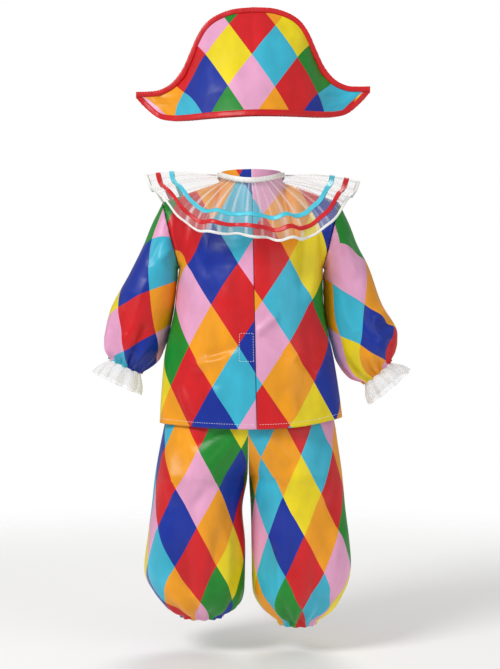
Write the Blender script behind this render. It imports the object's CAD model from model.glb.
"""Sews a toddler's harlequin costume as it is worn: hat, top with balloon sleeves, sheer ruff, trousers."""

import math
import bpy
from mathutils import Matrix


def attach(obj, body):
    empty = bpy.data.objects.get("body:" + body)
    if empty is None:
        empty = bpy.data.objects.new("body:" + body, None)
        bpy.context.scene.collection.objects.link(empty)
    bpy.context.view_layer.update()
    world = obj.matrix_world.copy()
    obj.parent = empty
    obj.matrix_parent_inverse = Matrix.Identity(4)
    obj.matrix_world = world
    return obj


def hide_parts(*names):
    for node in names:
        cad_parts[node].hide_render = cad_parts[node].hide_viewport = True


bl_info = {
    "name": "Harlequin Costume",
    "version": (1, 0, 0),
    "blender": (4, 5, 0),
    "location": "3D View > Sidebar > Costume",
    "description": "Sews a toddler's harlequin hat, top, ruff and trousers as they are worn",
    "category": "Add Mesh",
}

import bmesh
import bpy
import numpy as np
from bpy.props import FloatProperty, FloatVectorProperty, IntProperty, PointerProperty
from mathutils import Matrix, Vector

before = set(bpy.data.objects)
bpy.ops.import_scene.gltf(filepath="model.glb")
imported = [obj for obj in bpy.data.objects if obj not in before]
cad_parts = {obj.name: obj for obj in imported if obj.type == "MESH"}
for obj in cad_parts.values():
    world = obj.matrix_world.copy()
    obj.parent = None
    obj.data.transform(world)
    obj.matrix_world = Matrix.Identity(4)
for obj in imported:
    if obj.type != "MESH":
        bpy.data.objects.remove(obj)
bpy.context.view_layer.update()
MM = 0.001
TURN = 2 * math.pi


# ---------------------------------------------------------------- sizes, in millimetres
def table(columns, *rows):
    """Rows of sizes as one array for each named column."""
    return {name: np.array([row[k] for row in rows], float) for k, name in enumerate(columns.split())}


SEAM, WAVY_SEAM = 0.3, 0.45

NECK = {"half": 43.5, "back": 44.5, "front": 47.5, "edge": 5, "front_drop": 22, "stand": 13}
SHOULDER = {"half": 127, "z": -38}
ARMPIT_Z, ARMHOLE_BOW = -132, 34
NECK_SHARE, NECK_TURN = 0.42, 0.01
OPENING = {"neck": 1, "hem": 8}
TORSO = table(
    "z left right back front",
    (-132, 104, 104, 81, 84),
    (-165, 108, 104, 85, 91),
    (-200, 112, 106, 88, 97),
    (-255, 124, 117, 91, 102),
    (-300, 128, 124, 93, 104),
    (-356, 131, 131, 95, 105),
)
HEM = {"z": -356, "dip": 5, "lift": 9}
FLUTES = table(
    "at depth width",
    (-0.4, 4, 0.05),
    (-0.2, 5, 0.035),
    (-0.09, 2.5, 0.03),
    (0.08, 2.5, 0.03),
    (0.19, 5, 0.035),
    (0.31, 4, 0.05),
    (0.46, 4, 0.05),
)

SLEEVE_COLUMNS = "x y z dip across deep"
SLEEVE_LEFT = table(
    SLEEVE_COLUMNS,
    (115.5, 0, -85, 13.8, 48.4, 34),
    (122, 0, -98, 21, 43, 38),
    (131, 0, -120, 42, 33.5, 41),
    (143, 1, -155, 62, 35.5, 43),
    (160.5, 3, -203, 73, 44, 46),
    (170, 5, -238, 77, 44, 46),
    (175, 6, -254, 74, 39.6, 42),
    (179.5, 7, -265, 69, 33, 34),
    (181, 8, -272, 66, 26, 26),
    (182.5, 8, -276, 65, 25, 25),
)
SLEEVE_RIGHT = table(
    SLEEVE_COLUMNS,
    (115.5, 0, -85, 13.8, 48.4, 34),
    (122, 0, -98, 21, 42, 38),
    (129.5, 0, -119, 42, 33, 41),
    (140.5, 1, -152, 56, 36, 43),
    (150, 3, -199, 70, 42, 45),
    (163, 5, -231, 75, 48.5, 49),
    (168, 6, -254, 71, 46.5, 47),
    (175, 7, -273, 60, 37, 37),
    (181, 8, -282, 52, 26, 26),
    (184, 8, -285.5, 50, 25, 25),
)
# How far each sleeve swells below the arm, by share of its length, until it all but rests on the top
SLEEVE_REST = {
    -1: (
        (0, 0.12, 0.2, 0.25, 0.31, 0.42, 0.5, 0.62, 0.74, 0.82, 0.88, 0.94),
        (0, 1.1, 3.0, 2.9, 2.4, 2.8, 3.1, 2.3, 2.0, 0.8, 1.6, 0),
    ),
    1: (
        (0, 0.12, 0.2, 0.31, 0.42, 0.5, 0.55, 0.62, 0.75, 0.86, 0.93),
        (0, 1.8, 4.2, 6.0, 5.3, 3.1, 1.9, 0.2, -1.2, -1.2, 0),
    ),
}
# How much flatter than round the cloth's print lies, and how far it is stretched on the inner side
SLEEVE_PRINT = {-1: {"flatter": 0.6, "stretched": 0}, 1: {"flatter": 0.6, "stretched": 1}}
# Where that print starts to be pulled and is fully so, as a share of a turn, and how far it then goes
SLEEVE_PULL = {"from": 0.03, "full": 0.14, "aside": 0.25, "shorter": 0.4}
SLEEVE_ROUND, SLEEVE_WIDEST, PRINT_LEVEL = 1.25, 0.8, -92
WRIST = {"gathers": 12, "depth": 2.4}
CUFF = {"length": 27, "start": 24, "end": 36, "waves": 9, "depth": 4.5}

BAND = {"half": 49, "back": 50, "front": 53, "tall": 7.6}
BAND_DROP = {"side": 1, "back": 12, "front": 30}
RUFF = {"x": 2, "side": 154, "back": 108, "front": 110, "waves": 13, "depth": 7}
RUFF_FALL = {"left": 4, "right": 14, "back": 96, "front": 100}
RUFF_ARCH, FALL_POWER, RUFF_START, RUFF_LENGTH = 6, 1.7, 1.3, 108
RUFF_DIPS = table(  # where its lower edge hangs lower, or higher below zero
    "at drop width",
    (-0.12, 5.5, 0.016),
    (-0.085, 9.5, 0.024),
    (-0.05, 2.2, 0.014),
    (-0.022, -3.2, 0.011),
    (0.006, 2.0, 0.012),
    (0.041, 10.0, 0.016),
    (0.073, 16.0, 0.018),
    (0.097, 10.0, 0.016),
    (0.128, 16.5, 0.032),
    (0.36, 3.0, 0.02),
    (0.41, -3.0, 0.016),
    (0.46, 4.0, 0.016),
    (0.53, -3.0, 0.02),
    (0.6, 3.4, 0.02),
)
RIBBON_WIDTH, RIBBON_LIFT = 7, 0.8
RUFF_TUCK = 1.5  # the organza ends this far inside its folded edge tape
RIBBONS = {"turquoise": 0.6, "red": 0.79}
EDGE_WIDTH = 4

CENTRE = -4
CROTCH = {"z": -434, "rise": -325, "fill": 0.55}
WAISTBAND = {"top": -180, "base": -205, "half": 80, "back": 62, "front": 63, "gathers": 48, "depth": 1.3}
LEG_COLUMNS = "z out in back front"
LEG_LEFT = table(
    LEG_COLUMNS,
    (-205.3, 80, 0, 62, 63),
    (-260, 99, 0, 74, 78),
    (-310, 112, 0, 81, 86),
    (-357, 121, 0, 84, 88),
    (-390, 128, 0, 84, 85),
    (-434, 136, 0.5, 82, 78),
    (-480, 141, 8, 79, 74),
    (-530, 147.5, 4, 76, 72),
    (-567, 152, 4, 74, 70),
    (-585, 149, 4.5, 71, 67),
    (-603, 138, 6, 65, 61),
    (-618, 123, 12, 54, 51),
    (-627, 112, 24, 43, 41),
    (-632, 101, 33, 34, 33),
    (-638, 98, 36, 31, 30),
)
LEG_RIGHT = table(
    LEG_COLUMNS,
    (-205.3, 80, 0, 62, 63),
    (-260, 99, 0, 74, 78),
    (-310, 113, 0, 81, 86),
    (-357, 125, 0, 84, 88),
    (-390, 130, 0, 84, 85),
    (-434, 136, 0.5, 82, 78),
    (-480, 140, 3, 79, 74),
    (-530, 146, 4, 76, 72),
    (-560, 148, 4.5, 74, 70),
    (-585, 144, 5, 71, 67),
    (-605, 134, 8, 65, 61),
    (-623, 122, 20, 55, 52),
    (-635, 108, 34, 43, 41),
    (-641, 101, 41, 34, 33),
    (-648, 99, 43, 31, 30),
)
ANKLE = {"gathers": 13, "depth": 2.8, "from": -585}
LEG_FOLDS = {"count": 5, "depth": 3}

HAT = {"x": 3, "y": 5, "half": 170, "lean": 0.024}
BROW = {"push": 95, "half": 160, "round": 1.25, "fall": 1.15}
TIP_BACK = 0.3
HAT_TIP = 0.9 / 34  # the panels end at this share of the width from each tip
BINDING = {"width": 8, "proud": 0.9}
FOAM_CLOTH = 2.0
HAT_EDGES = table(
    "x top base",
    (0, 246, 74),
    (30, 243.5, 74),
    (54, 235, 74.5),
    (70, 223, 75),
    (82, 205, 75.5),
    (92, 182, 76),
    (103, 158, 77),
    (118, 139, 79),
    (136, 129, 85),
    (154, 127, 100),
    (170, 127, 118),
)
FOAM_EASE = 0.1  # the hat's panels are this much thinner than their setting
FLOOR_Z = -687
CAMERA = {"x": -1.45, "distance": 2000, "z": -229.7, "sensor": 36, "rows": 669, "row": 1.45}

# The print of the top: the share of its width past which the cloth faces sideways, how much longer
# the print is there and how much shorter above the armpits, and where it starts to turn upright
# and has done so, in shares of the rows above the armpits, below them where negative
TORSO_PRINT = {"turned": 0.8, "side": 1.12, "above": 0.85, "from": -0.4, "upright": -0.05}
LEG_PRINT = {"plumb": 76, "widest": -567}
# Flat lengths that the weave and the print of the gathered strips are laid out on
STRIPS = {"ruff": 1050, "cuff": 300, "waistband": 620}

# Steps of each mesh across or round its piece and along it
HAT_STEPS = {"across": 120, "up": 60, "lower_tape": 260, "top_tape": 320, "fold": 16}
TOP_STEPS = {"neck": 44, "neck_point": 3, "shoulder": 50, "below_armpit": 74, "above_armpit": 60}
SLEEVE_STEPS = {"round": 220, "upper": 54, "lower": 66}
CUFF_STEPS = {"round": 320, "down": 30}
RUFF_STEPS = {"down": 48, "ribbon": 6, "edge": 10, "band": 14}
LEG_STEPS = {"round": 240, "upper": 76, "lower": 64}
WAISTBAND_STEPS = {"round": 384, "down": 12}

# Soft creases, each a stroke from x, z to to_x, to_z on the side of the garment that it faces
# (-1 back, 1 front): half its width, and how far it lifts the cloth, or sinks it below zero.
CREASE_COLUMNS = "x z to_x to_z width depth facing"
CREASE_LIFT = 1.5  # they are all this many times as deep as their tables say
TOP_CREASES = table(
    CREASE_COLUMNS,
    (94, -70, 84, -190, 9, 4.0, -1),
    (78, -80, 72, -170, 7, -1.6, -1),
    (-96, -120, -78, -200, 9, 2.4, -1),
    (-82, -95, -60, -150, 8, -1.2, -1),
    (40, -200, 4, -232, 6, 2.6, -1),
    (12, -226, 60, -262, 6, -2.4, -1),
    (-14, -244, -62, -262, 6, -2.5, -1),
    (-30, -262, -86, -276, 7, 2.7, -1),
    (62, -262, 96, -286, 6, -2.4, -1),
    (-100, -300, -80, -355, 7, 2.6, -1),
    (-48, -300, -40, -358, 9, 2.4, -1),
    (54, -305, 60, -352, 9, 2.4, -1),
    (20, -110, 30, -180, 12, 1.2, -1),
    (-26, -120, -34, -190, 12, 1.2, -1),
    (92, -80, 80, -180, 9, 3.0, 1),
    (-94, -90, -76, -200, 9, 3.0, 1),
    (-60, -110, 20, -150, 10, -1.6, 1),
    (60, -120, -10, -170, 9, 1.8, 1),
    (-70, -210, -20, -250, 9, 1.8, 1),
    (70, -230, 24, -262, 8, -1.5, 1),
    (-40, -290, -46, -352, 9, 2.0, 1),
    (30, -285, 38, -350, 9, 2.0, 1),
)
SLEEVE_CREASES = table(
    CREASE_COLUMNS,
    (-128, -92, -146, -132, 6, -1.8, -1),
    (-112, -104, -132, -128, 5, 1.6, -1),
    (-150, -150, -170, -236, 9, 1.6, -1),
    (-172, -170, -192, -240, 8, -1.4, -1),
    (-148, -216, -166, -256, 6, -1.6, -1),
    (-178, -226, -186, -262, 5, 1.5, -1),
    (-200, -216, -194, -258, 6, -1.6, -1),
    (124, -80, 150, -150, 7, 2.2, -1),
    (144, -84, 160, -130, 6, -1.6, -1),
    (120, -110, 148, -128, 5, -1.8, -1),
    (144, -160, 166, -236, 10, 1.6, -1),
    (204, -212, 178, -222, 7, -3.2, -1),
    (196, -196, 168, -206, 9, 2.0, -1),
    (176, -236, 184, -268, 5, 1.8, -1),
    (150, -226, 168, -262, 6, -1.8, -1),
    (202, -236, 194, -268, 6, -1.8, -1),
    (-130, -96, -150, -150, 7, 2.0, 1),
    (-160, -180, -178, -250, 8, -2.0, 1),
    (-140, -110, -126, -150, 6, -1.6, 1),
    (130, -96, 150, -150, 7, 2.0, 1),
    (160, -180, 178, -256, 8, -2.0, 1),
    (140, -110, 128, -150, 6, -1.6, 1),
)
LEG_CREASES = table(
    CREASE_COLUMNS,
    (-20, -372, -60, -420, 8, 2.8, -1),
    (-34, -360, -84, -388, 7, -2.4, -1),
    (-118, -390, -104, -470, 11, 2.6, -1),
    (-52, -440, -86, -474, 8, -2.8, -1),
    (-44, -500, -58, -590, 9, -3.2, -1),
    (-30, -520, -36, -596, 7, 2.9, -1),
    (-122, -500, -112, -594, 10, 2.6, -1),
    (-92, -520, -84, -600, 8, -2.4, -1),
    (12, -368, 56, -410, 8, 2.8, -1),
    (30, -430, 64, -470, 8, -2.8, -1),
    (112, -380, 100, -470, 11, 2.6, -1),
    (36, -510, 44, -604, 8, 2.9, -1),
    (64, -480, 58, -570, 8, -2.6, -1),
    (126, -500, 112, -600, 10, 2.6, -1),
    (92, -530, 86, -612, 8, -2.6, -1),
    (-50, -380, -90, -440, 9, 2.2, 1),
    (-110, -440, -96, -560, 10, -2.0, 1),
    (-40, -480, -52, -590, 9, 2.2, 1),
    (50, -380, 88, -440, 9, 2.2, 1),
    (112, -440, 98, -560, 10, -2.0, 1),
    (42, -480, 52, -596, 9, 2.2, 1),
)
HAT_CREASES = table(
    CREASE_COLUMNS,
    (1, 236, 4, 168, 3, -1.0, -1),
    (12, 232, 20, 150, 10, 1.2, -1),
    (-138, 116, -100, 112, 4, -1.2, -1),
    (-140, 104, -104, 98, 4, 1.2, -1),
    (146, 118, 104, 112, 4, -1.2, -1),
    (146, 106, 112, 98, 4, 1.2, -1),
    (-70, 176, -54, 110, 12, 1.2, -1),
    (70, 176, 58, 112, 12, -1.2, -1),
    (0, 236, -4, 160, 4, -1.0, 1),
    (60, 180, 52, 120, 12, 1.2, 1),
    (-60, 180, -52, 120, 12, -1.2, 1),
)

# The printed repeat of each panel, charted by hand: a letter for each diamond, one text for each
# half row down the cloth, read from the diamond at the panel's mark.
CHARTS = {
    "top_left": ("BPTYGO", "ROGRBP", "OBYPTG", "TROBYR"),
    "top_right": ("RYOBPG", "TGRTYO", "PRTYOB", "OBPGRT"),
    "leg_left": ("OGGTPB", "PBOYTR", "BORPGP", "RYBOYT"),
    "leg_right": ("OTOBO", "YRPGT", "BOGRP", "RPBYT", "GTYPO", "RPGYT"),
    "hat": ("RYOGBP", "TGPTRY", "PRTYOB", "OBRPTG"),
    "sleeve_left": ("BOYGT", "RPTOY", "PBGRO", "TROBG", "PTBPY", "TGROG"),
    "sleeve_right": ("PGBYO", "OBYPT", "BYTOY", "RGPOO", "PTOBR", "GRYTP"),
}


# ---------------------------------------------------------------- small tools
def lerp(a, b, t):
    return a + (b - a) * t


def unit(t):
    return np.clip(t, 0, 1)


def smooth(low, high, t):
    t = unit((t - low) / (high - low))
    return t * t * (3 - 2 * t)


def vec(x, y, z):
    return np.stack(np.broadcast_arrays(x, y, z), axis=-1).astype(float)


def row_at(rows, key, value):
    """Each column of a table at values of one of them, on a smooth curve through its rows."""
    knots = rows[key]
    sign = 1 if knots[-1] > knots[0] else -1
    i = np.clip(np.searchsorted(sign * knots, sign * value) - 1, 0, len(knots) - 2)
    before, a, b, after = np.maximum(i - 1, 0), i, i + 1, np.minimum(i + 2, len(knots) - 1)
    step = knots[b] - knots[a]
    t = unit((value - knots[a]) / step)

    def slope(column, p, q):
        return (column[q] - column[p]) / (knots[q] - knots[p]) * step

    return {
        name: column[a] * (2 * t**3 - 3 * t**2 + 1)
        + slope(column, before, b) * (t**3 - 2 * t**2 + t)
        + column[b] * (3 * t**2 - 2 * t**3)
        + slope(column, a, after) * (t**3 - t**2)
        for name, column in rows.items()
    }


def creased(rows, points, normal):
    """How far a table of creases lifts the cloth at points with these normals."""
    lift = np.zeros(points.shape[:-1])
    for x, z, to_x, to_z, width, depth, facing in zip(*(rows[c] for c in CREASE_COLUMNS.split())):
        dx, dz = to_x - x, to_z - z
        t = unit(((points[..., 0] - x) * dx + (points[..., 2] - z) * dz) / (dx * dx + dz * dz))
        away = np.hypot(points[..., 0] - x - t * dx, points[..., 2] - z - t * dz)
        shown = smooth(0.05, 0.5, facing * normal[..., 1])
        lift += CREASE_LIFT * depth * np.exp(-((away / width) ** 2)) * (1 - (2 * t - 1) ** 4) * shown
    return lift


class Drape:
    """A layer of cloth: the form it hangs on, how far it folds off that form, and its outer side."""

    def __init__(self, form, fold, outward, loop=False, creases=None):
        self.form, self.fold, self.outward, self.loop, self.creases = form, fold, outward, loop, creases

    def at(self, u, v):
        """Its points and its outward directions."""
        step = 1e-3
        keep = (lambda t: t) if self.loop else unit
        du = self.form(keep(u + step), v) - self.form(keep(u - step), v)
        dv = self.form(u, unit(v + step)) - self.form(u, unit(v - step))
        normal = self.outward * np.cross(du, dv)
        normal /= np.maximum(np.linalg.norm(normal, axis=-1, keepdims=True), 1e-12)
        points = self.form(u, v)
        lift = self.fold(u, v)
        if self.creases is not None:
            lift = lift + creased(self.creases, points, normal)
        return points + normal * lift[..., None], normal


# ---------------------------------------------------------------- forms of the top
def middle(facing, z):
    if facing > 0:
        return 0 * z
    return lerp(OPENING["neck"], OPENING["hem"], unit((NECK["edge"] - z) / (NECK["edge"] - HEM["z"])))


def top_edge(side, facing, u):
    """The neckline from the middle to the neck point, then the shoulder seam to its tip."""
    neck_angle = unit(u / NECK_SHARE) * math.pi / 2
    depth = NECK["back"] if facing < 0 else NECK["front"]
    drop = NECK["front_drop"] if facing > 0 else 0
    neckline = vec(
        side * NECK["half"] * np.sin(neck_angle),
        facing * (depth * np.cos(neck_angle) + SEAM / 2),
        NECK["edge"] - drop * np.cos(neck_angle) ** 2,
    )
    s = unit((u - NECK_SHARE) / (1 - NECK_SHARE))
    stand = NECK["edge"] - NECK["stand"] * smooth(0, NECK_TURN, u - NECK_SHARE)
    shoulder = vec(
        side * lerp(NECK["half"], SHOULDER["half"], s), facing * SEAM / 2, lerp(stand, SHOULDER["z"], s)
    )
    return np.where((u <= NECK_SHARE)[..., None], neckline, shoulder)


def torso_point(side, facing, u, v):
    """u runs from the middle line to the side, v from the hem by the armpit to neck and shoulder."""
    q = unit(2 * v - 1)
    sin, cos = np.sin(u * math.pi / 2), np.cos(u * math.pi / 2)
    hem = HEM["z"] - (HEM["dip"] * cos**2 if facing < 0 else 0) + (HEM["lift"] * sin**2 if side > 0 else 0)
    level = lerp(hem, ARMPIT_Z, unit(2 * v))
    row = row_at(TORSO, "z", level)
    reach, depth = row["left" if side < 0 else "right"], row["back" if facing < 0 else "front"]
    high = top_edge(side, facing, u)
    edge = smooth(0.55, 1, u)
    neck = 1 - smooth(NECK_SHARE - 0.1, NECK_SHARE + 0.15, u)
    rise = lerp(np.sin(q * math.pi / 2), (1 - np.cos(q * math.pi)) / 2, edge)
    stand = smooth(0.1, 0.93, rise)
    rounded = 1 - np.sqrt(np.maximum(0, 1 - rise**2))
    x = lerp(side * reach * sin, high[..., 0], lerp(rise, stand, neck))
    y = lerp(facing * depth * cos, high[..., 1], lerp(rounded, stand, neck))
    y = y + facing * ARMHOLE_BOW * np.sin(q * math.pi) * edge**2
    z = lerp(level, high[..., 2], rise)
    return vec(x + middle(facing, z) * (1 - u), y, z)


def flutes(side, facing, u, v):
    turn = side * (u / 4 if facing < 0 else 0.5 - u / 4)
    out = 0
    for at, depth, width in zip(FLUTES["at"], FLUTES["depth"], FLUTES["width"]):
        away = np.abs((turn - at + 1.5) % 1 - 0.5)
        out = out + depth * np.exp(-((away / width) ** 2))
    puckers = 0.35 * np.exp(-(1 - u) / 0.03) * smooth(0.5, 0.6, v) * np.cos(TURN * 22 * v)
    return out * (1 - smooth(0, 0.45, v)) + puckers


def back_drape(side):
    def share(u):
        return lerp(0.002, 1, u)

    def fold(u, v):
        seam = -0.5 * np.exp(-u / 0.02)  # turned in at the centre-back opening
        return flutes(side, -1, u, v) + seam

    return Drape(lambda u, v: torso_point(side, -1, share(u), v), fold, side, creases=TOP_CREASES)


def front_drape():
    def halves(made, u, v):
        share = np.abs(2 * u - 1)
        left, right = made(-1, share, v), made(1, share, v)
        pick = (u < 0.5) if left.ndim == u.ndim else (u < 0.5)[..., None]
        return np.where(pick, left, right)

    def form(u, v):
        return halves(lambda side, s, t: torso_point(side, 1, s, t), u, v) + np.array([0, SEAM, 0])

    def fold(u, v):
        return halves(lambda side, s, t: flutes(side, 1, s, t), u, v)

    return Drape(form, fold, -1, creases=TOP_CREASES)


# ---------------------------------------------------------------- forms of the sleeves and cuffs
def with_run(rows):
    steps = [np.diff(rows[c]) for c in "xyz"]
    return rows | {"run": np.concatenate([[0], np.cumsum(np.sqrt(sum(s * s for s in steps)))])}


SLEEVES = {-1: with_run(SLEEVE_LEFT), 1: with_run(SLEEVE_RIGHT)}


def sleeve_ring(side, share):
    row = row_at(SLEEVES[side], "run", share * SLEEVES[side]["run"][-1])
    dip = np.radians(row["dip"])
    return {
        "centre": vec(side * row["x"], row["y"], row["z"]),
        "run": vec(side * np.cos(dip), 0, -np.sin(dip)),
        "up": vec(side * np.sin(dip), 0, np.cos(dip)),
        "across": row["across"],
        "deep": row["deep"],
    }


def on_ring(centre, up, across, deep, turn):
    """turn 0 is the outer side, 0.25 the back, 0.5 the side next to the body."""
    point = centre + up * (across * np.cos(turn * TURN))[..., None]
    point[..., 1] -= deep * np.sin(turn * TURN)
    return point


def sleeve_drape(side):
    """u starts and ends at the seam under the arm."""
    start = 3 * WAVY_SEAM / SLEEVES[side]["run"][-1]

    def form(u, v):
        ring = sleeve_ring(side, lerp(start, 1, v))
        return on_ring(ring["centre"], ring["up"], ring["across"], ring["deep"], u + 0.5)

    def fold(u, v):
        turn = u + 0.5
        uneven = 1 + 0.35 * np.sin(TURN * 5 * turn + 0.7 * side) * (1 - smooth(0.9, 1, v))
        gathers = WRIST["depth"] * smooth(0.75, 0.97, v) * np.cos(TURN * WRIST["gathers"] * turn) * uneven
        fine = 0.7 * smooth(0.86, 0.98, v) * np.cos(TURN * 31 * turn + 2 * np.sin(TURN * 3 * turn))
        head = 0.5 * np.exp(-v / 0.03) * np.cos(TURN * 27 * turn) * smooth(-0.3, 0.6, np.cos(TURN * turn))
        blouse = 1.1 * np.sin(math.pi * unit((v - 0.62) / 0.36)) * np.cos(TURN * 7 * turn + 4 * v + side)
        inner = np.exp(-((np.minimum(u, 1 - u) / 0.1) ** 2))
        rest = np.interp(v, *SLEEVE_REST[side]) * inner
        return gathers + fine + head + blouse + rest

    return Drape(form, fold, side, loop=True, creases=SLEEVE_CREASES)


def cuff_drape(side):
    wrist = sleeve_ring(side, np.array(1.0))

    def form(u, v):
        turn = u + 0.5
        radius = lerp(CUFF["start"], CUFF["end"], np.sin(v * math.pi / 2))
        centre = wrist["centre"] + wrist["run"] * (2 * SEAM + v * CUFF["length"])[..., None]
        return on_ring(centre, wrist["up"], radius, radius, turn)

    def fold(u, v):
        turn = u + 0.5
        waves = CUFF["depth"] * v * np.cos(TURN * CUFF["waves"] * turn + side)
        ripple = 1.1 * v**1.5 * np.cos(TURN * 23 * turn + 2 * np.sin(TURN * 2 * turn) + side)
        tight = 0.5 * np.exp(-v / 0.15) * np.cos(TURN * 40 * turn)
        return waves + ripple + tight

    return Drape(form, fold, side, loop=True)


# ---------------------------------------------------------------- forms of the ruff
def ruff_point(turn, s):
    """turn 0 is the centre back, 0.25 the wearer's right, 0.5 the centre front."""
    sin, cos = np.sin(turn * TURN), np.cos(turn * TURN)

    def pick(sizes):
        return np.where(cos > 0, sizes["back"], sizes["front"])

    start = vec(
        (BAND["half"] + RUFF_START) * sin,
        -(pick(BAND) + RUFF_START) * cos,
        BAND_DROP["side"] - pick(BAND_DROP) * cos * cos,
    )
    hang = np.abs(cos) ** FALL_POWER
    side_fall = lerp(RUFF_FALL["left"], RUFF_FALL["right"], (1 + sin) / 2)
    end = vec(
        RUFF["x"] + RUFF["side"] * sin, -pick(RUFF) * cos, -lerp(side_fall, pick(RUFF_FALL), hang)
    )
    for at, drop, width in zip(*(RUFF_DIPS[name] for name in ("at", "drop", "width"))):
        away = np.abs((turn - at + 0.5) % 1 - 0.5)
        end[..., 2] -= drop * np.exp(-((away / width) ** 2))
    out = lerp(s, np.sin(s * math.pi / 2), hang)
    arch = RUFF_ARCH * np.sin(s * math.pi) * (1 - hang)
    return vec(
        lerp(start[..., 0], end[..., 0], out),
        lerp(start[..., 1], end[..., 1], out),
        lerp(start[..., 2], end[..., 2], s) + arch,
    )


def ruff_fold(turn, s):
    waves = RUFF["depth"] * s**1.3 * np.cos(TURN * RUFF["waves"] * turn + 2 * np.sin(3 * TURN * turn))
    gathers = 0.7 * np.exp(-s / 0.16) * np.cos(TURN * 58 * turn + 3 * np.sin(TURN * 4 * turn))
    ripple = 0.5 * s * np.cos(TURN * 31 * turn + 3 * np.sin(TURN * 2 * turn) + 2 * s)
    return waves + (gathers + ripple) * (1 - smooth(0.94, 1, s))


def ruff_drape(low, high, lift=0.0):
    """A ring of the ruff from one share of its length to another, lifted off its cloth."""
    return Drape(
        lambda u, v: ruff_point(u, lerp(low, high, v)),
        lambda u, v: ruff_fold(u, lerp(low, high, v)) + lift,
        -1,
        loop=True,
    )


def band_drape():
    def form(u, v):
        point = ruff_point(u, 0 * v)
        inward = 1 - RUFF_START / BAND["half"]
        return vec(point[..., 0] * inward, point[..., 1] * inward, point[..., 2] + (0.5 - v) * BAND["tall"])

    return Drape(form, lambda u, v: 0.06 * np.cos(TURN * 58 * u), -1, loop=True)


def band_flipped():
    """The band's outer face with v = 1 at its upper edge, where its tape folds over."""
    drape = band_drape()
    return Drape(lambda u, v: drape.form(u, 1 - v), lambda u, v: drape.fold(u, 1 - v), 1, loop=True)


# ---------------------------------------------------------------- forms of the trousers
LEGS = {-1: LEG_LEFT, 1: LEG_RIGHT}


def leg_point(side, u, v):
    """u runs round a leg from the front middle seam, by the outer side, to the back middle seam."""
    rows = LEGS[side]
    z = lerp(rows["z"][0], rows["z"][-1], v)
    row = row_at(rows, "z", z)
    a = lerp(-math.pi, math.pi, u)
    depth = np.where(a > 0, row["back"], row["front"])
    under = unit((CROTCH["rise"] - z) / (CROTCH["rise"] - CROTCH["z"]))
    free = np.sqrt(1 - under**2)
    half = (row["out"] - row["in"]) / 2
    x = lerp(row["in"] + half + half * np.cos(a), row["out"] * np.cos(a / 2), free)
    y = lerp(-depth * np.sin(a), -depth * np.sin(a / 2), free)
    full = 1 + CROTCH["fill"] * free * (1 - free)
    return vec(CENTRE + side * (SEAM / 2 + x), y * full, z)


def leg_drape(side):
    rows = LEGS[side]
    top, base = rows["z"][0], rows["z"][-1]

    def share(z):
        return (z - top) / (base - top)

    def fold(u, v):
        ends = smooth(0.05, 0.25, u) * (1 - smooth(0.75, 0.95, u))
        waves = LEG_FOLDS["depth"] * smooth(0.25, 0.7, v) * np.cos(TURN * LEG_FOLDS["count"] * u + side)
        waves = waves * (1 - smooth(share(-600), 1, v)) * ends
        near = smooth(share(ANKLE["from"]), 0.985, v)
        uneven = 1 + 0.35 * np.sin(TURN * 4 * u + 1.3 * side) * (1 - smooth(0.97, 1, v))
        gathers = ANKLE["depth"] * near * np.cos(TURN * ANKLE["gathers"] * u) * uneven
        fine = 0.35 * smooth(share(-605), 0.995, v) * np.cos(TURN * 37 * u + 2 * np.sin(TURN * 3 * u + side))
        waist = 1.2 * np.exp(-v / 0.05) * np.cos(TURN * 24 * u)
        seam = 0.9 * np.exp(-(((u - 1) / 0.012) ** 2)) + 0.9 * np.exp(-((u / 0.012) ** 2))
        return waves + (gathers + fine) * (1 - 0.6 * smooth(0.955, 1, v)) + waist - seam

    def form(u, v):
        return leg_point(side, u, v) - np.array([side * 0.4 * SEAM, 0, 0])

    return Drape(form, fold, side, creases=LEG_CREASES)


def waistband_drape():
    def form(u, v):
        depth = np.where(np.cos(TURN * u) > 0, WAISTBAND["back"], WAISTBAND["front"])
        return vec(
            CENTRE + WAISTBAND["half"] * np.sin(TURN * u),
            -depth * np.cos(TURN * u),
            lerp(WAISTBAND["top"], WAISTBAND["base"], v),
        )

    def fold(u, v):
        gathers = np.cos(TURN * WAISTBAND["gathers"] * u) * (0.6 + 0.4 * np.cos(TURN * v))
        return WAISTBAND["depth"] * (gathers - 1)

    return Drape(form, fold, -1, loop=True)


# ---------------------------------------------------------------- forms of the hat
def hat_edges(x):
    """The hat's edges at x from its middle, and the inner line of the binding on each."""
    away = np.abs(x)
    row = row_at(HAT_EDGES, "x", away)
    ahead = row_at(HAT_EDGES, "x", np.minimum(HAT["half"], away + 1))
    behind = row_at(HAT_EDGES, "x", away - 1)

    def slant(column):
        return np.hypot(1, (ahead[column] - behind[column]) / 2)

    top_line = row["top"] - BINDING["width"] * slant("top")
    base_line = np.minimum(row["base"] + BINDING["width"] * slant("base"), top_line - 0.6)
    return {
        "top": row["top"],
        "top_line": top_line,
        "panel_top": top_line + 1.5,
        "panel_base": base_line - 1.5,
        "base_line": base_line,
        "base": np.minimum(row["base"], base_line - 1),
    }


def hat_point(facing, x, z, proud=0.0):
    edges = hat_edges(x)
    up = unit((z - edges["base"]) / (edges["top_line"] - edges["base"]))
    push = BROW["push"] * np.cos(math.pi / 2 * np.minimum(1, np.abs(x) / BROW["half"])) ** BROW["round"]
    out = FOAM_CLOTH + SEAM / 2 + push * (1 - up ** BROW["fall"]) + proud
    rise = TIP_BACK * (out - FOAM_CLOTH - SEAM / 2) if facing > 0 else 0
    return vec(HAT["x"] + x, HAT["y"] + facing * out, z + HAT["lean"] * x + rise)


def hat_x(u):
    return HAT["half"] * (2 * u - 1)


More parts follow.
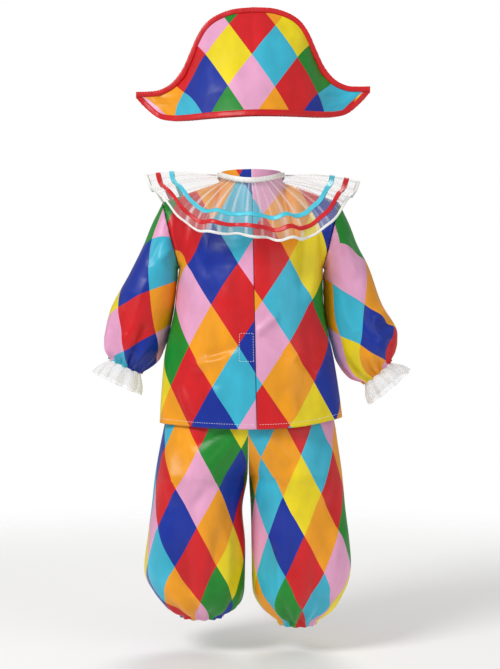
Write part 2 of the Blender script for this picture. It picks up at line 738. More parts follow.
def hat_panel_drape(facing):
    def form(u, v):
        x = hat_x(lerp(HAT_TIP, 1 - HAT_TIP, u))
        edges = hat_edges(x)
        return hat_point(facing, x, lerp(edges["panel_base"], edges["panel_top"], v))

    def fold(u, v):
        return 0.5 * np.sin(TURN * 2.5 * u + 1) * np.sin(math.pi * v)

    return Drape(form, fold, -facing, creases=HAT_CREASES)


def hat_edge_drape(facing):
    """The outer face of the tape on a panel's lower edge: v is 0 at its inner line, 1 at the edge."""

    def form(u, v):
        x = hat_x(u)
        edges = hat_edges(x)
        return hat_point(facing, x, lerp(edges["base_line"], edges["base"], v), BINDING["proud"])

    return Drape(form, lambda u, v: 0 * u, facing)


def hat_crest_drape():
    """The plane between the panels under the tape on their joined upper edges."""

    def form(u, v):
        x = hat_x(u)
        edges = hat_edges(x)
        return vec(HAT["x"] + x, HAT["y"], lerp(edges["top_line"], edges["top"], v) + HAT["lean"] * x)

    return Drape(form, lambda u, v: 0 * u, 1)


def folded_over(drape, half, middle_at, pucker=0.0, count=60):
    """A tape folded over the edge v = 1 of a drape, half thick on each side of middle_at."""

    def form(u, w):
        angle = math.pi * w
        across = np.sign(np.cos(angle)) * np.abs(np.cos(angle)) ** 0.35
        down = np.abs(np.sin(angle)) ** 0.8
        points, normal = drape.at(u, down)
        return points + normal * (middle_at + half * across)[..., None]

    def fold(u, w):
        return pucker * np.cos(TURN * count * u + 2 * np.sin(TURN * 7 * u)) * np.sin(math.pi * w) ** 2

    return form, fold


# ---------------------------------------------------------------- making cloth
def spans(*ends):
    """Shares from pairs of an end and the number of steps that lead to it."""
    made, at = [np.array([0.0])], 0.0
    for end, count in ends:
        made.append(np.linspace(at, end, count + 1)[1:])
        at = end
    return np.concatenate(made)


def evenly(steps):
    return np.linspace(0, 1, steps + 1)


def lengths(points, axis):
    """How far each point of a grid lies along its row or down its column."""
    steps = np.linalg.norm(np.diff(points, axis=axis), axis=2)
    first = np.zeros_like(points[:, :1, 0] if axis == 1 else points[:1, :, 0])
    return np.concatenate([first, np.cumsum(steps, axis=axis)], axis=axis)


def sew(name, drape, us, vs, thickness, flat=None):
    """One layer of cloth as an object: a grid moved onto the drape, with its flat place as its UV."""
    us, vs = np.asarray(us), np.asarray(vs)
    bm = bmesh.new()
    bmesh.ops.create_grid(bm, x_segments=len(us) - 1, y_segments=len(vs) - 1, size=0.5)
    mesh = bpy.data.meshes.new(name)
    bm.to_mesh(mesh)
    bm.free()
    grid = np.empty(3 * len(mesh.vertices))
    mesh.vertices.foreach_get("co", grid)
    column = np.rint((grid[0::3] + 0.5) * (len(us) - 1)).astype(int)
    row = np.rint((grid[1::3] + 0.5) * (len(vs) - 1)).astype(int)
    u, v = np.meshgrid(us, vs)
    points, _ = drape.at(u, v)
    if drape.loop:
        points[:, -1] = points[:, 0]
    mesh.vertices.foreach_set("co", (points[row, column] * MM).ravel())
    place = flat(drape.form(u, v)) if flat else (lengths(points, 1), lengths(points, 0))
    place = np.stack(place, axis=-1)[row, column] * MM
    corners = np.empty(len(mesh.loops), dtype=np.int32)
    mesh.loops.foreach_get("vertex_index", corners)
    mesh.uv_layers.new(name="Cloth").data.foreach_set("uv", place[corners].ravel())
    if drape.outward < 0:
        mesh.flip_normals()
    if drape.loop:
        bm = bmesh.new()
        bm.from_mesh(mesh)
        ends = [vert for vert in bm.verts if vert.is_boundary]
        bmesh.ops.remove_doubles(bm, verts=ends, dist=1e-6)
        bm.to_mesh(mesh)
        bm.free()
    mesh.shade_smooth()
    piece = bpy.data.objects.new(name, mesh)
    bpy.context.collection.objects.link(piece)
    wall = piece.modifiers.new("Cloth thickness", "SOLIDIFY")
    wall.thickness, wall.offset = thickness * MM, -1
    return piece


def finish(piece, material, nodes=()):
    """Gives a piece its material and says what it rides on, replaces and was cut from."""
    piece.data.materials.append(material)
    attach(piece, "root")
    if nodes:
        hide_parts(*nodes)
    return piece


def stitched(name, drape, us, vs, length, width=0.7, height=0.6, proud=0.12):
    """A run of machine stitches on a drape, one short rounded stitch at each u, v, along the run."""
    points, normal = drape.at(us, vs)
    ahead = np.gradient(points, axis=0)
    to_metres = Matrix.Scale(MM, 4)
    bm = bmesh.new()
    for p, n, a in zip(points, normal, ahead):
        along = Vector(a).normalized()
        out = Vector(n).normalized()
        side = out.cross(along).normalized()
        frame = Matrix((along, side, along.cross(side))).transposed().to_4x4()
        size = Matrix.Diagonal((length / 2, width / 2, height / 2, 1))
        place = to_metres @ Matrix.Translation(Vector(p) + out * proud) @ frame @ size
        bmesh.ops.create_uvsphere(bm, u_segments=6, v_segments=4, radius=1, matrix=place)
    mesh = bpy.data.meshes.new(name)
    bm.to_mesh(mesh)
    bm.free()
    mesh.shade_smooth()
    piece = bpy.data.objects.new(name, mesh)
    bpy.context.collection.objects.link(piece)
    return piece


def along_run(drape, low, high, spacing, count=400):
    """Evenly spaced places on a drape between two u, v ends, spacing millimetres apart."""
    t = np.linspace(0, 1, count)
    points, _ = drape.at(lerp(low[0], high[0], t), lerp(low[1], high[1], t))
    run = np.concatenate([[0], np.cumsum(np.linalg.norm(np.diff(points, axis=0), axis=1))])
    at = np.interp(np.arange(spacing / 2, run[-1], spacing), run, t)
    return lerp(low[0], high[0], at), lerp(low[1], high[1], at)


# ---------------------------------------------------------------- materials
def to_linear(code):
    """A #RRGGBB colour in linear light."""
    parts = [int(code[k : k + 2], 16) / 255 for k in (1, 3, 5)]
    return tuple(p / 12.92 if p <= 0.04045 else ((p + 0.055) / 1.055) ** 2.4 for p in parts)


def add(tree, kind, inputs=None, **settings):
    """A node with its settings, its sockets given values or linked from other nodes' outputs."""
    node = tree.nodes.new("ShaderNode" + kind)
    for name, value in settings.items():
        setattr(node, name, value)
    for name, value in (inputs or {}).items():
        if isinstance(value, bpy.types.NodeSocket):
            tree.links.new(value, node.inputs[name])
        else:
            node.inputs[name].default_value = value
    return node


def sums(tree, operation, a, b=0.0, c=0.0):
    return add(tree, "Math", {0: a, 1: b, 2: c}, operation=operation).outputs[0]


def blank(name):
    material = bpy.data.materials.new(name)
    material.use_nodes = True
    tree = material.node_tree
    tree.nodes.clear()
    return material, tree


def shader(tree, **inputs):
    surface = add(tree, "BsdfPrincipled", {k.replace("_", " "): v for k, v in inputs.items()})
    tree.links.new(surface.outputs[0], add(tree, "OutputMaterial").inputs[0])
    return surface


def cloth_place(tree):
    return add(tree, "UVMap", uv_map="Cloth").outputs[0]


def satin_surface(tree, place, tint, bend=1.0, gloss=0.42):
    """The bump and the gloss of polyester satin: long floats along the cloth and soft handling marks."""
    # floats about 0.4 mm wide and 6 mm long, and handling marks about 30 mm wide and 50 mm long
    floats = add(tree, "Mapping", {"Vector": place, "Scale": (2600, 160, 1)}).outputs[0]
    grain = add(tree, "TexNoise", {"Vector": floats, "Scale": 1.0, "Detail": 1.0}).outputs[0]
    soft = add(
        tree, "Mapping", {"Vector": place, "Rotation": (0, 0, 0.5), "Scale": (34, 19, 1)}
    ).outputs[0]
    handled = add(
        tree, "TexNoise", {"Vector": soft, "Scale": 1.0, "Detail": 2.0, "Roughness": 0.45}
    ).outputs[0]
    wrinkles = add(tree, "Bump", {"Strength": 0.8 * bend, "Distance": 0.003, "Height": handled}).outputs[0]
    weave = add(
        tree, "Bump", {"Strength": 0.12, "Distance": 0.0002, "Height": grain, "Normal": wrinkles}
    ).outputs[0]
    rough = add(tree, "MapRange", {"Value": grain, "To Min": 0.32, "To Max": 0.47}).outputs[0]
    shading = {"Value": handled, "From Min": 0.3, "From Max": 0.7, "To Min": 0.9, "To Max": 1.1}
    shade = add(tree, "MapRange", shading).outputs[0]
    toned = add(tree, "VectorMath", {0: tint, "Scale": shade}, operation="SCALE").outputs[0]
    return shader(
        tree, Base_Color=toned, Roughness=rough, Normal=weave, Sheen_Weight=0.02, Sheen_Roughness=0.4,
        Specular_IOR_Level=gloss, Anisotropic=0.35,
    )


def printed_satin(name, chart, mark, across, down):
    """White polyester satin printed with a harlequin repeat. mark is the flat place of its first
    diamond in millimetres, across and down the steps from it to its right and its lower corner."""
    colours = bpy.context.scene.harlequin_colours
    dyes = {
        "R": colours.red, "B": colours.blue, "T": colours.turquoise, "Y": colours.yellow,
        "O": colours.orange, "P": colours.pink, "G": colours.green,
    }
    material, tree = blank(name)
    place = cloth_place(tree)
    to_steps = np.linalg.inv(np.array([across, down]).T * MM)
    steps = []
    for row, start in zip(to_steps, to_steps @ np.array(mark) * MM):
        far = add(tree, "VectorMath", {0: place, 1: (*row, 0)}, operation="DOT_PRODUCT").outputs["Value"]
        steps.append(sums(tree, "SUBTRACT", far, start))
    p = sums(tree, "ROUND", sums(tree, "MULTIPLY", sums(tree, "ADD", *steps), 0.5))
    q = sums(tree, "ROUND", sums(tree, "MULTIPLY", sums(tree, "SUBTRACT", *steps), 0.5))
    letters = "".join(CHARTS[chart])
    wide, tall = len(CHARTS[chart][0]), len(CHARTS[chart])
    pair = sums(tree, "FLOOR", sums(tree, "MULTIPLY_ADD", sums(tree, "ADD", p, q), 0.5, 0.1))
    column = sums(tree, "FLOORED_MODULO", sums(tree, "ADD", pair, 0.25), wide)
    level = sums(tree, "ADD", sums(tree, "SUBTRACT", p, q), 0.25)
    row = sums(tree, "FLOOR", sums(tree, "FLOORED_MODULO", level, tall))
    index = sums(tree, "MULTIPLY_ADD", row, wide, column)
    ramp = add(tree, "ValToRGB", {0: sums(tree, "DIVIDE", sums(tree, "ADD", index, 0.25), len(letters))})
    stops = ramp.color_ramp
    stops.interpolation = "CONSTANT"
    while len(stops.elements) < len(letters):
        stops.elements.new(1.0)
    for k, letter in enumerate(letters):
        stops.elements[k].position = k / len(letters)
        stops.elements[k].color = (*dyes[letter], 1)
    satin_surface(tree, place, ramp.outputs[0])
    return material


def plain_satin(name, colour, bend=1.0, gloss=0.42):
    """Satin tape or ribbon dyed one colour."""
    material, tree = blank(name)
    satin_surface(tree, cloth_place(tree), colour, bend, gloss)
    return material


def organza(name, veil, gather):
    """Crisp sheer polyester organza: a fine open weave that veils what is under it, and stands
    white only along a few soft gathers, where it lies several layers deep."""
    material, tree = blank(name)
    place = cloth_place(tree)
    streaks = add(tree, "Mapping", {"Vector": place, "Scale": (105, 2.5, 1)}).outputs[0]
    gathered = add(tree, "TexNoise", {"Vector": streaks, "Scale": 1.0, "Detail": 1.0}).outputs[0]
    veiling = {"Value": gathered, "From Min": 0.5, "From Max": 0.74, "To Min": veil, "To Max": gather}
    dense = add(tree, "MapRange", veiling).outputs[0]
    # real threads are 0.1 mm apart; these are 2 mm apart, so that they show
    warp = add(tree, "TexWave", {"Vector": place, "Scale": 160.0}).outputs["Fac"]
    weft = add(tree, "TexWave", {"Vector": place, "Scale": 160.0}, bands_direction="Y").outputs["Fac"]
    weave = sums(tree, "MULTIPLY_ADD", sums(tree, "MAXIMUM", warp, weft), 0.14, 0.9)
    bump = add(tree, "Bump", {"Strength": 0.3, "Distance": 0.001, "Height": gathered}).outputs[0]
    shader(
        tree, Base_Color=(*bpy.context.scene.harlequin_colours.organza, 1),
        Alpha=sums(tree, "MULTIPLY", dense, weave), Normal=bump, Roughness=0.45, Specular_IOR_Level=0.3,
    )
    return material


def thread(name, colour):
    """Spun polyester sewing thread."""
    material, tree = blank(name)
    place = add(tree, "TexCoord").outputs["Object"]
    twist = add(tree, "TexNoise", {"Vector": place, "Scale": 1800.0, "Detail": 1.0}).outputs[0]
    bump = add(tree, "Bump", {"Strength": 0.4, "Distance": 0.0002, "Height": twist}).outputs[0]
    tone = add(tree, "MapRange", {"Value": twist, "To Min": 0.85, "To Max": 1.08}).outputs[0]
    tint = add(tree, "VectorMath", {0: colour[:3], "Scale": tone}, operation="SCALE").outputs[0]
    shader(tree, Base_Color=tint, Normal=bump, Roughness=0.6, Sheen_Weight=0.2)
    return material


# ---------------------------------------------------------------- where cloth lies flat
def flat_torso(pulled=0.0):
    """Along from the middle line and up; the grain stays upright above the armpits, and the hem is
    pulled round by a share of its width."""

    def flat(points):
        level = points.copy()
        level[..., 2] = 0
        sign = np.sign(points[0, -1, 0] - points[0, 0, 0])
        across, along = sign * points[..., 0], lengths(level, 1)
        along -= np.array([np.interp(0, x, far) for x, far in zip(across, along)])[:, None]
        along *= 1 + pulled * unit((ARMPIT_Z - points[..., 2]) / (ARMPIT_Z - HEM["z"]))
        pit = int(np.argmin(np.abs(points[:, -1, 2] - ARMPIT_Z)))
        turned = TORSO_PRINT["turned"] * across[pit, -1]  # past here the cloth faces sideways
        upright = np.interp(np.clip(across, -turned, turned), across[pit], along[pit])
        upright += TORSO_PRINT["side"] * (across - np.clip(across, -turned, turned))
        height = (np.arange(len(points)) - pit) / (len(points) - pit)
        above = smooth(TORSO_PRINT["from"], TORSO_PRINT["upright"], height)[:, None]
        rising = points.copy()
        rising[..., 0] = 0
        up = lengths(rising, 0)
        up[pit:] = lerp(up[pit], up[pit:], TORSO_PRINT["above"])
        return sign * lerp(along, upright, above), points[:1, :, 2] + up

    return flat


def flat_leg(side):
    """Along from the line where a leg faces straight back, and up; it keeps its full width below."""

    def flat(points):
        level = points.copy()
        level[..., 2] = 0
        along = lengths(level, 1)
        half = points.shape[1] // 2
        plumb_x = CENTRE + side * LEG_PRINT["plumb"]
        for k, row in enumerate(points):
            back = side * row[half:, 0]
            along[k] -= np.interp(-side * plumb_x, -back, along[k, half:])
        widest = int(np.argmin(np.abs(points[:, half, 2] - LEG_PRINT["widest"])))
        along[widest:] = along[widest]
        down = lengths(points, 0)
        up = np.where(np.arange(len(points))[:, None] <= widest, points[..., 2], 0)
        up[widest + 1 :] = points[widest, :, 2] - (down[widest + 1 :] - down[widest])
        return -side * along, up

    return flat


def flat_sleeve(side):
    """Along round the arm from the line that faces back, and down. Each side of that line lies
    flatter than the ring does, and the inner side is pulled, so that the print is bigger there."""
    cloth = SLEEVE_PRINT[side]

    def flat(points):
        along = lengths(points, 1)
        quarter = 3 * (points.shape[1] - 1) // 4
        along -= along[:, quarter : quarter + 1]
        turn = np.linspace(0, 1, points.shape[1]) - 0.75
        angle = TURN * np.abs(turn) + 1e-6
        flatter = np.where(angle < math.pi / 2, np.sin(angle), 1 + angle - math.pi / 2) / angle
        along *= lerp(1, SLEEVE_ROUND * flatter, cloth["flatter"])
        down = lengths(points, 0)
        widest = int(SLEEVE_WIDEST * len(points))
        along[widest:] = along[widest]
        below = -(down[:, quarter : quarter + 1] + 0 * down) - PRINT_LEVEL
        pulled = cloth["stretched"] * smooth(SLEEVE_PULL["from"], SLEEVE_PULL["full"], turn)
        aside = SLEEVE_PULL["aside"] * pulled * below
        return aside - side * along, PRINT_LEVEL + below * (1 - SLEEVE_PULL["shorter"] * pulled)

    return flat


def flat_hat(points):
    level = points.copy()
    level[..., 2] = 0
    along = lengths(level, 1)
    return along - along[:, along.shape[1] // 2][:, None], points[:1, :, 2] + lengths(points, 0)


def flat_ring(width):
    """A straight strip of this flat length that goes all the way round, gathered."""

    def flat(points):
        turn = np.linspace(0, 1, points.shape[1])[None, :] + 0 * points[..., 0]
        return turn * width, lengths(points, 0)

    return flat


# ---------------------------------------------------------------- settings
def colour_setting(name, text, code):
    return FloatVectorProperty(
        name=name, description=text, subtype="COLOR", size=3, min=0, max=1, default=to_linear(code)
    )


class HarlequinColours(bpy.types.PropertyGroup):
    """Dyes of the printed satin and of the trims"""

    red: colour_setting("Red", "Red of the print", "#D5141C")
    blue: colour_setting("Blue", "Royal blue of the print", "#042C9C")
    turquoise: colour_setting("Turquoise", "Turquoise of the print", "#38B6D2")
    yellow: colour_setting("Yellow", "Yellow of the print", "#EFD814")
    orange: colour_setting("Orange", "Orange of the print", "#F5A012")
    pink: colour_setting("Pink", "Pink of the print", "#EAA6CB")
    green: colour_setting("Green", "Green of the print", "#128A26")
    binding: colour_setting("Binding", "Red of the hat's bias binding", "#D3151C")
    organza: colour_setting("Organza", "White of the ruff and the cuffs", "#FAFAFA")
    tape: colour_setting("Tape", "White of the collar band and edge", "#F6F5F1")
    turquoise_ribbon: colour_setting("Turquoise ribbon", "Upper ribbon of the ruff", "#4FD3EA")
    red_ribbon: colour_setting("Red ribbon", "Lower ribbon of the ruff", "#DA141E")
    thread: colour_setting("Thread", "White sewing thread", "#F2F0F0")


def size_setting(name, text, default, low, high):
    return FloatProperty(
        name=name, description=text, unit="LENGTH", subtype="DISTANCE", default=default, min=low, max=high
    )


class HarlequinSizes(bpy.types.PropertyGroup):
    """Sizes of the cloth and its sewing"""

    satin: size_setting("Satin", "Thickness of the printed satin", 0.0005, 0.0002, 0.0012)
    foam: size_setting("Foam satin", "Thickness of the hat's foam-backed satin", 0.002, 0.001, 0.003)
    organza: size_setting("Organza", "Thickness of the organza", 0.0003, 0.0001, 0.001)
    tape: size_setting("Tape", "Thickness of the tapes and ribbons", 0.0004, 0.0002, 0.0008)
    stitch: size_setting("Stitch", "Length of a stitch", 0.0026, 0.001, 0.005)
    stitch_gap: size_setting("Stitch gap", "Gap between two stitches", 0.0010, 0.0003, 0.003)
    hem: size_setting("Hem", "Height of the stitching above the hem", 0.0068, 0.003, 0.02)
    ruff_columns: IntProperty(
        name="Ruff columns", description="Columns of the ruff's mesh", default=468, min=120, max=900
    )


class CostumeOperator:
    bl_options = {"REGISTER", "UNDO"}

    @property
    def colours(self):
        return bpy.context.scene.harlequin_colours

    @property
    def sizes(self):
        return bpy.context.scene.harlequin_sizes


class HARLEQUIN_OT_hat(CostumeOperator, bpy.types.Operator):
    """Cut the two foam-backed panels of the bicorne hat and bind their edges in red"""

    bl_idname = "harlequin.hat"
    bl_label = "Hat"

    def execute(self, context):
        sizes = self.sizes
        red = plain_satin("Red satin bias binding", self.colours.binding)
        us, vs = evenly(HAT_STEPS["across"]), evenly(HAT_STEPS["up"])
        along, across = evenly(HAT_STEPS["lower_tape"]), evenly(HAT_STEPS["fold"])
        foam, thick = sizes.foam / MM - FOAM_EASE, sizes.tape / MM
        for facing, side, mark in ((-1, "back", (-1.1, 238.2)), (1, "front", (22, 215))):
            satin = printed_satin(f"Printed satin, hat {side}", "hat", mark, (33.5, -1.3), (-0.7, -57.7))
            panel = sew(f"hat_panel_{side}", hat_panel_drape(facing), us, vs, foam, flat_hat)
            edge = hat_edge_drape(facing)
            form, fold = folded_over(edge, half=1.45, middle_at=-1.45, pucker=0.16, count=70)
            binding = sew(f"hat_binding_{side}", Drape(form, fold, facing), along, across, thick)
            finish(binding, red, [f"hat_{side}_binding"])
            finish(
                panel, satin, [f"hat_{side}_panel"],
            )
        form, fold = folded_over(hat_crest_drape(), half=3.05, middle_at=0, pucker=0.2, count=90)
        along = evenly(HAT_STEPS["top_tape"])
        crest = sew("hat_binding_top", Drape(form, fold, 1), along, across, thick)
        finish(crest, red, ["hat_top_binding"])
        return {"FINISHED"}


class HARLEQUIN_OT_top(CostumeOperator, bpy.types.Operator):
    """Cut the back panels and the front of the top and stitch its hem and closure"""

    bl_idname = "harlequin.top"
    bl_label = "Top"

    def execute(self, context):
        sizes = self.sizes
        half_columns = spans(
            (NECK_SHARE, TOP_STEPS["neck"]),
            (NECK_SHARE + NECK_TURN, TOP_STEPS["neck_point"]),
            (1, TOP_STEPS["shoulder"]),
        )
        rows = spans((0.5, TOP_STEPS["below_armpit"]), (1, TOP_STEPS["above_armpit"]))
        thread_white = thread("White polyester thread", self.colours.thread)
        pitch = (sizes.stitch + sizes.stitch_gap) / MM
        hem_v = sizes.hem / MM / (ARMPIT_Z - HEM["z"] + HEM["dip"]) / 2
        prints = (
            (-1, "left", 0.15, (-58.4, -130.7), (40.2, 0.3), (-0.8, -57.3)),
            (1, "right", 0.0, (12.4, -125.2), (38.9, 1.2), (-1.4, -57.8)),
        )
        for side, label, pulled, mark, right, down in prints:
            drape = back_drape(side)
            satin = printed_satin(f"Printed satin, back {label}", f"top_{label}", mark, right, down)
            flat = flat_torso(pulled)
            panel = sew(f"top_panel_back_{label}", drape, half_columns, rows, sizes.satin / MM, flat)
            runs = [along_run(drape, (0.015, hem_v), (0.985, hem_v), pitch)]
            if side < 0:
                low, high, near, far = 0.205, 0.29, 0.012, 0.11
                corners = [(near, high), (far, high), (far, low), (near, low), (near, high)]
                neck_loop = ((0.02, 0.985), (0.1, 0.985))
                sides = (*zip(corners, corners[1:]), neck_loop)
                runs += [along_run(drape, *ends, pitch) for ends in sides]
            stitches = [
                stitched(f"top_stitches_{label}_{k}", drape, us, vs, sizes.stitch / MM)
                for k, (us, vs) in enumerate(runs)
            ]
            for run in stitches:
                finish(run, thread_white)
            finish(
                panel, satin, [f"top_back_{label}"]
            )
        drape = front_drape()
        columns = np.concatenate([(1 - half_columns[:0:-1]) / 2, (1 + half_columns) / 2])
        satin = printed_satin("Printed satin, front", "top_left", (-38, -131), (38, 0), (0, -57.5))
        panel = sew("top_panel_front", drape, columns, rows, sizes.satin / MM, flat_torso())
        us, vs = along_run(drape, (0.01, hem_v), (0.99, hem_v), pitch, 800)
        run = stitched("top_stitches_front", drape, us, vs, sizes.stitch / MM)
        finish(run, thread_white)
        finish(panel, satin, ["top_front"])
        return {"FINISHED"}


class HARLEQUIN_OT_sleeves(CostumeOperator, bpy.types.Operator):
    """Cut the balloon sleeves and gather them at the wrists"""

    bl_idname = "harlequin.sleeves"
    bl_label = "Sleeves"

    def execute(self, context):
        prints = (
            (-1, "left", (-33.4, -76.2), (37.1, -10.2), (-5.3, -46.8)),
            (1, "right", (10.5, -66.0), (34.5, 6.0), (5.5, -46.0)),
        )
        for side, label, mark, right, down in prints:
            satin = printed_satin(f"Printed satin, sleeve {label}", f"sleeve_{label}", mark, right, down)
            piece = sew(
                f"sleeve_panel_{label}",
                sleeve_drape(side),
                evenly(SLEEVE_STEPS["round"]),
                spans((0.6, SLEEVE_STEPS["upper"]), (1, SLEEVE_STEPS["lower"])),
                self.sizes.satin / MM,
                flat_sleeve(side),
            )
            finish(piece, satin, [f"sleeve_{label}"])
        return {"FINISHED"}


class HARLEQUIN_OT_cuffs(CostumeOperator, bpy.types.Operator):
    """Gather the sheer frills of the cuffs"""

    bl_idname = "harlequin.cuffs"
    bl_label = "Cuff frills"

    def execute(self, context):
        sheer = organza("White organza, cuffs", 0.24, 0.66)
        for side, label in ((-1, "left"), (1, "right")):
            piece = sew(
                f"cuff_frill_{label}",
                cuff_drape(side),
                evenly(CUFF_STEPS["round"]),
                evenly(CUFF_STEPS["down"]),
                self.sizes.organza / MM,
                flat_ring(STRIPS["cuff"]),
            )
            finish(
                piece, sheer, [f"cuff_ruffle_{label}"]
            )
        return {"FINISHED"}


class HARLEQUIN_OT_ruff(CostumeOperator, bpy.types.Operator):
    """Gather the sheer ruff into its band and sew on its ribbons and white edge"""

    bl_idname = "harlequin.ruff"
    bl_label = "Ruff"

    def execute(self, context):
        sizes, colours = self.sizes, self.colours
        share = 1 / RUFF_LENGTH
        around, thick = evenly(sizes.ruff_columns), sizes.tape / MM
        white = plain_satin("White satin tape", colours.tape, 0.6)
        inside_edge = ruff_drape(0, 1 - RUFF_TUCK * share)
        cloth = sew(
            "ruff_organza", inside_edge, around, evenly(RUFF_STEPS["down"]), sizes.organza / MM,
            flat_ring(STRIPS["ruff"]),
        )
        trims = []
        ribbons = (
            ("turquoise", "Turquoise satin ribbon", colours.turquoise_ribbon),
            ("red", "Red satin ribbon", colours.red_ribbon),
        )
        for key, name, colour in ribbons:
            low = RIBBONS[key]
            drape = ruff_drape(low, low + RIBBON_WIDTH * share, RIBBON_LIFT)
            ribbon = sew(f"ruff_ribbon_{key}", drape, around, evenly(RUFF_STEPS["ribbon"]), thick)
            material = plain_satin(name, colour, 0.8, 0.5)
            finish(ribbon, material, [f"collar_ribbon_{key}"])
            trims.append(ribbon)
        end = ruff_drape(1 - EDGE_WIDTH * share, 1)
        form, fold = folded_over(end, half=1.1, middle_at=-0.5, pucker=0.1, count=150)
        tape = Drape(form, fold, 1, loop=True)
        edge = sew("ruff_edge", tape, around, evenly(RUFF_STEPS["edge"]), thick)
        finish(edge, white, ["collar_edge"])
        form, fold = folded_over(band_flipped(), half=1.5, middle_at=-1.5, pucker=0.03, count=58)
        tape = Drape(form, fold, 1, loop=True)
        band = sew("ruff_band", tape, around, evenly(RUFF_STEPS["band"]), thick)
        finish(band, white, ["collar_band"])
        sheer = organza("White organza, ruff", 0.07, 0.42)
        trims += [edge, band]
        finish(cloth, sheer, ["collar_ruffle"])
        return {"FINISHED"}


class HARLEQUIN_OT_trousers(CostumeOperator, bpy.types.Operator):
    """Cut the balloon legs, gather them at the ankles and sew them to the waistband"""

    bl_idname = "harlequin.trousers"
    bl_label = "Trousers"

    def execute(self, context):
        prints = (
            (-1, "left", (-23.8, -390.2), (30.4, 0.5), (-1.1, -55.0)),
            (1, "right", (-30.8, -399.8), (28.1, 2.0), (2.5, -56.3)),
        )
        for side, label, mark, right, down in prints:
            satin = printed_satin(f"Printed satin, leg {label}", f"leg_{label}", mark, right, down)
            piece = sew(
                f"leg_panel_{label}",
                leg_drape(side),
                evenly(LEG_STEPS["round"]),
                spans((0.8, LEG_STEPS["upper"]), (1, LEG_STEPS["lower"])),
                self.sizes.satin / MM,
                flat_leg(side),
            )
            finish(piece, satin, [f"trouser_leg_{label}"])
        satin = printed_satin("Printed satin, waistband", "leg_left", (0, 0), (29, 0), (0, -55))
        round_waist, down = evenly(WAISTBAND_STEPS["round"]), evenly(WAISTBAND_STEPS["down"])
        flat = flat_ring(STRIPS["waistband"])
        band = sew("waistband_panel", waistband_drape(), round_waist, down, self.sizes.satin / MM, flat)
        finish(band, satin, ["trouser_waistband"])
        return {"FINISHED"}


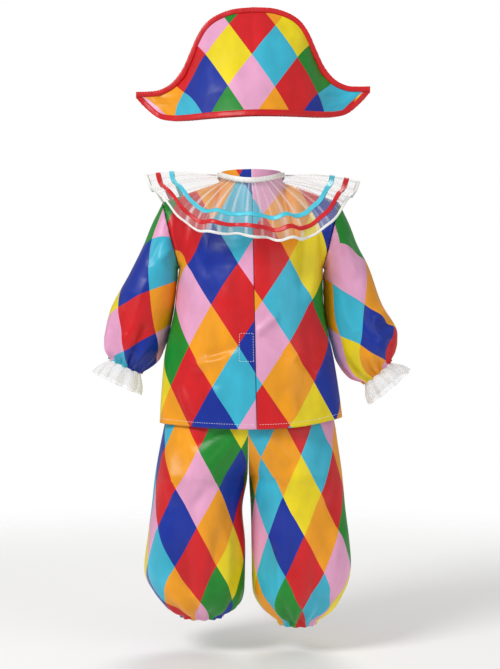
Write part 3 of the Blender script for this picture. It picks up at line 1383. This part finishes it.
class HARLEQUIN_OT_stage(CostumeOperator, bpy.types.Operator):
    """Lay the pale floor, set the soft lights and place the camera"""

    bl_idname = "harlequin.stage"
    bl_label = "Stage"

    def execute(self, context):
        scene = context.scene
        bm = bmesh.new()
        bmesh.ops.create_circle(bm, cap_ends=True, segments=96, radius=1.9)
        bmesh.ops.translate(bm, verts=bm.verts, vec=(0, 0, FLOOR_Z * MM))
        mesh = bpy.data.meshes.new("studio_floor")
        bm.to_mesh(mesh)
        bm.free()
        floor = bpy.data.objects.new("studio_floor", mesh)
        scene.collection.objects.link(floor)
        material, tree = blank("Pale studio paper")
        place = add(tree, "TexCoord").outputs["Object"]
        fibre = add(tree, "TexNoise", {"Vector": place, "Scale": 300.0, "Detail": 2.0}).outputs[0]
        bump = add(tree, "Bump", {"Strength": 0.05, "Distance": 0.0005, "Height": fibre}).outputs[0]
        far = add(tree, "VectorMath", {0: place}, operation="LENGTH").outputs["Value"]
        fading = {"Value": far, "From Min": 0.95, "From Max": 1.9, "To Min": 1.0, "To Max": 0.0}
        faded = add(tree, "MapRange", fading, interpolation_type="SMOOTHSTEP").outputs[0]
        shader(tree, Base_Color=(*to_linear("#FBFBFA"), 1), Normal=bump, Roughness=0.85, Alpha=faded)
        floor.data.materials.append(material)
        world = bpy.data.worlds.new("Soft studio")
        world.use_nodes = True
        tree = world.node_tree
        seen = add(tree, "LightPath").outputs["Is Camera Ray"]  # a white backdrop, and a dimmer light
        strength = add(tree, "MapRange", {"Value": seen, "To Min": 0.41, "To Max": 1.0}).outputs[0]
        tree.nodes["Background"].inputs["Color"].default_value = (1, 1, 1, 1)
        tree.links.new(strength, tree.nodes["Background"].inputs["Strength"])
        scene.world = world
        lamps = (
            ("key_softbox", (-1.7, -1.9, 1.7), 1.2, 56),
            ("fill_softbox", (1.9, -1.8, 0.5), 1.8, 10),
            ("rim_softbox", (0.4, 2.2, 1.8), 1.6, 30),
        )
        for name, at, size, power in lamps:
            light = bpy.data.lights.new(name, "AREA")
            light.shape, light.size, light.energy = "DISK", size, power
            lamp = bpy.data.objects.new(name, light)
            lamp.location = at
            aim = Vector((0, 0, -0.22)) - Vector(at)
            lamp.rotation_euler = aim.to_track_quat("-Z", "Y").to_euler()
            scene.collection.objects.link(lamp)
        camera = bpy.data.cameras.new("camera")
        camera.lens = CAMERA["sensor"] * CAMERA["distance"] / (CAMERA["rows"] * CAMERA["row"])
        camera.clip_end = 50
        view = bpy.data.objects.new("camera", camera)
        view.location = (CAMERA["x"] * MM, -CAMERA["distance"] * MM, CAMERA["z"] * MM)
        view.rotation_euler = (math.pi / 2, 0, 0)
        scene.collection.objects.link(view)
        scene.camera = view
        scene.view_settings.view_transform = "Standard"
        return {"FINISHED"}


OPERATORS = (
    HARLEQUIN_OT_hat,
    HARLEQUIN_OT_top,
    HARLEQUIN_OT_sleeves,
    HARLEQUIN_OT_cuffs,
    HARLEQUIN_OT_ruff,
    HARLEQUIN_OT_trousers,
    HARLEQUIN_OT_stage,
)


class HARLEQUIN_PT_costume(bpy.types.Panel):
    """Pieces of the costume, and the sizes and colours that they are made with"""

    bl_label = "Harlequin Costume"
    bl_idname = "HARLEQUIN_PT_costume"
    bl_space_type = "VIEW_3D"
    bl_region_type = "UI"
    bl_category = "Costume"

    def draw(self, context):
        layout = self.layout
        for operator in OPERATORS:
            layout.operator(operator.bl_idname)
        for group in (context.scene.harlequin_sizes, context.scene.harlequin_colours):
            box = layout.box()
            for name in group.__annotations__:
                box.prop(group, name)


CLASSES = (HarlequinColours, HarlequinSizes, *OPERATORS, HARLEQUIN_PT_costume)


def register():
    for cls in CLASSES:
        bpy.utils.register_class(cls)
    bpy.types.Scene.harlequin_colours = PointerProperty(type=HarlequinColours)
    bpy.types.Scene.harlequin_sizes = PointerProperty(type=HarlequinSizes)


def unregister():
    del bpy.types.Scene.harlequin_sizes
    del bpy.types.Scene.harlequin_colours
    for cls in reversed(CLASSES):
        bpy.utils.unregister_class(cls)


def main():
    register()
    for operator in OPERATORS:
        group, name = operator.bl_idname.split(".")
        getattr(getattr(bpy.ops, group), name)()


if __name__ == "__main__":
    main()
